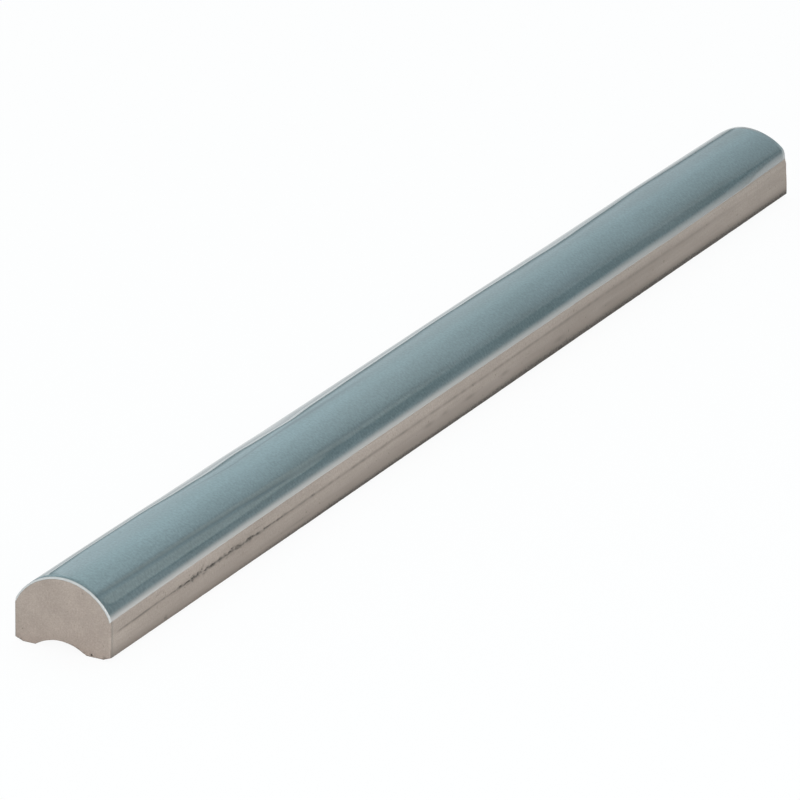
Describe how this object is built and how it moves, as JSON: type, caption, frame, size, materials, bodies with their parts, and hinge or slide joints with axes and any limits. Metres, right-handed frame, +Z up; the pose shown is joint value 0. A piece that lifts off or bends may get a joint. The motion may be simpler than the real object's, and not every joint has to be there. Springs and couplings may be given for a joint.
{
  "type": "pencil liner tile",
  "caption": "Slim domed ceramic trim strip with straight sides, a glazed grey-teal dome and a shallow keying channel between two feet on its back.",
  "frame": {"origin": "middle of the back, at the level of the two feet that the tile lies on", "axes": "+Y along the tile's length, +Z up through the crown of the dome, +X across the tile to its wider foot"},
  "size_m": [0.0136, 0.198, 0.0095],
  "materials": {
    "glaze": "gloss",
    "bisque": "matte"
  },
  "bodies": {
    "root": {"liner_tile": "glaze"}
  },
  "joints": []
}
